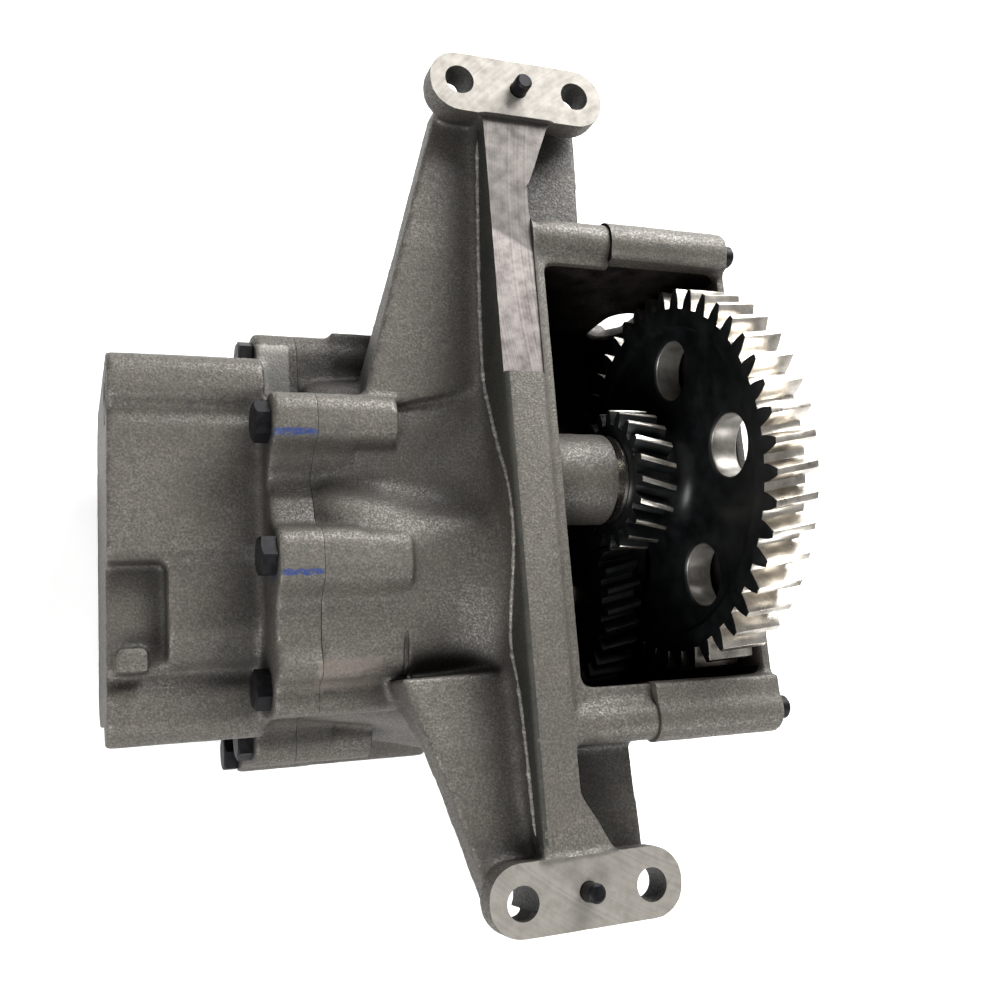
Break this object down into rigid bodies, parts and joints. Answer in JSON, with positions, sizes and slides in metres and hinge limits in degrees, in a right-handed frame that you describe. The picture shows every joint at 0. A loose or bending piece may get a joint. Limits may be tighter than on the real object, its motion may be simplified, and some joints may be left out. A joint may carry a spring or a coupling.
{
  "type": "engine oil pump",
  "caption": "Gear-type engine oil pump: cast bracket with bolt-up feet, open gear box with a large helical drive wheel and pinion, and a flanged pump body on a wide neck.",
  "frame": {"origin": "middle of the four foot holes, on the plane of the two foot faces", "axes": "+Z out of the foot faces towards the engine, +Y from foot to foot, +X along the gear axes from the pump body to the gear box"},
  "size_m": [0.221, 0.2932, 0.1755],
  "materials": {
    "cast_iron": "sand cast, machined faces bare",
    "black_steel": "black oxide",
    "plain_steel": "ground",
    "gear_steel": "case hardened, dark web and bright teeth",
    "bronze": "turned"
  },
  "bodies": {
    "frame": {"frame_casting": "cast_iron", "gear_cover": "cast_iron", "pump_body": "cast_iron", "flange_bolts": "black_steel", "cover_studs": "black_steel", "foot_pins": "black_steel", "body_pins": "plain_steel", "cover_pins": "plain_steel", "stub_axle": "plain_steel", "axle_thrust_ring": "plain_steel", "axle_washer": "plain_steel", "axle_nut": "black_steel", "shaft_bushes": "bronze", "relief_spring": "plain_steel", "relief_plug": "black_steel"},
    "wheel": {"drive_wheel": "gear_steel", "pinion": "gear_steel", "wheel_bush": "bronze"},
    "pump_shaft": {"drive_shaft": "plain_steel", "shaft_gear": "gear_steel", "shaft_key": "plain_steel", "shaft_washer": "plain_steel", "shaft_nut": "black_steel", "driving_rotor": "plain_steel"},
    "driven": {"driven_rotor": "plain_steel", "driven_shaft": "plain_steel"},
    "piston": {"relief_piston": "plain_steel"}
  },
  "joints": [
    {"name": "wheel_spin", "type": "hinge", "parent": "frame", "child": "wheel", "pos_m": [0.04, 0, -0.0256], "axis": [1, 0, 0], "continuous": true},
    {"name": "pump_shaft_spin", "type": "hinge", "parent": "frame", "child": "pump_shaft", "pos_m": [-0.02, -0.036, -0.07073], "axis": [1, 0, 0], "continuous": true},
    {"name": "driven_rotor_spin", "type": "hinge", "parent": "frame", "child": "driven", "pos_m": [-0.09, -0.00412, -0.07927], "axis": [1, 0, 0], "continuous": true},
    {"name": "relief_piston_slide", "type": "slide", "parent": "frame", "child": "piston", "axis": [-1, 0, 0], "range_m": [0, 0.006], "stiffness_N_per_m": 4000, "springref_m": -0.006, "deforming": ["relief_spring"]}
  ],
  "couplings": [
    {"joint": "pump_shaft_spin", "follows": "wheel_spin", "ratio": -0.66667},
    {"joint": "driven_rotor_spin", "follows": "wheel_spin", "ratio": 0.66667}
  ]
}
